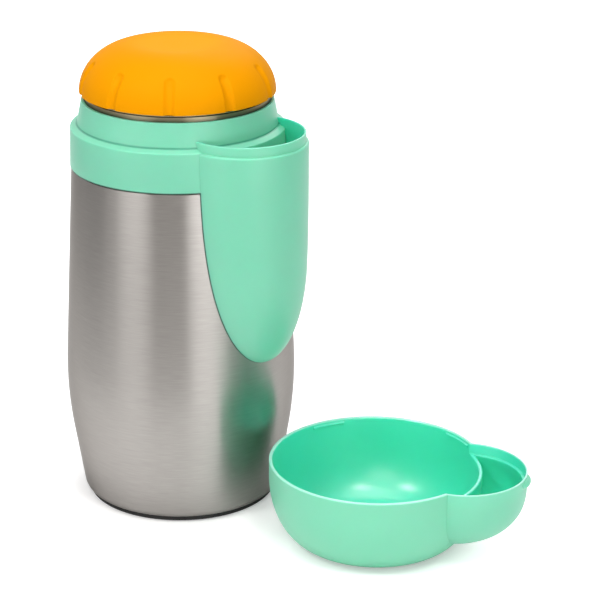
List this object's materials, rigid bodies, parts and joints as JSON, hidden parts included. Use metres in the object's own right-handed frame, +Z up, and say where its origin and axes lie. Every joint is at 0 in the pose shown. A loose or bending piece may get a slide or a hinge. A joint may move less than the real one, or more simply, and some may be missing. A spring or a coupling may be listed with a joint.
{
  "type": "insulated food jar",
  "caption": "Vacuum-walled steel food jar with a collar and spoon pocket, a domed screw stopper, and a lobed bowl cap lying taken off beside it.",
  "frame": {"origin": "on the jar's axis, on the underside of the foot pad, which is the surface the jar stands on", "axes": "+Z up along the jar's axis, -Y towards the viewer of the picture, +X to the viewer's right"},
  "size_m": [0.188, 0.1374, 0.1893],
  "materials": {
    "outer_steel": "satin",
    "liner_steel": "satin",
    "foil": "polished",
    "plate_steel": "satin",
    "seal_metal": "satin",
    "getter_metal": "matte",
    "pad_rubber": "matte",
    "collar_plastic": "satin",
    "seal_rubber": "matte",
    "dome_plastic": "satin",
    "plug_plastic": "satin",
    "gasket_silicone": "matte",
    "disc_plastic": "satin",
    "foam": "matte",
    "bowl_plastic": "satin"
  },
  "bodies": {
    "flask": {"outer_shell": "outer_steel", "inner_liner": "liner_steel", "liner_foil": "foil", "base_plate": "plate_steel", "vacuum_plug": "seal_metal", "getter_disc": "getter_metal", "base_pad": "pad_rubber", "collar": "collar_plastic", "collar_seal": "seal_rubber"},
    "stopper_core": {"stopper_foam": "foam"},
    "stopper": {"stopper_dome": "dome_plastic", "stopper_plug": "plug_plastic", "stopper_gasket": "gasket_silicone", "stopper_disc": "disc_plastic"},
    "bowl": {"bowl_cap": "bowl_plastic"}
  },
  "joints": [
    {"name": "stopper_rise", "type": "slide", "parent": "flask", "child": "stopper_core", "axis": [0, 0, 1], "range_m": [0, 0.0321]},
    {"name": "stopper_turn", "type": "hinge", "parent": "stopper_core", "child": "stopper", "pos_m": [0, 0, 0.1702], "axis": [0, 0, 1], "range_deg": [0, 720]},
    {"name": "bowl_lift", "type": "slide", "parent": "flask", "child": "bowl", "axis": [0.6061, -0.3642, 0.7071], "range_m": [0, 0.12]}
  ],
  "couplings": [
    {"joint": "stopper_rise", "follows": "stopper_turn", "m_per_rad": 0.0025465}
  ]
}
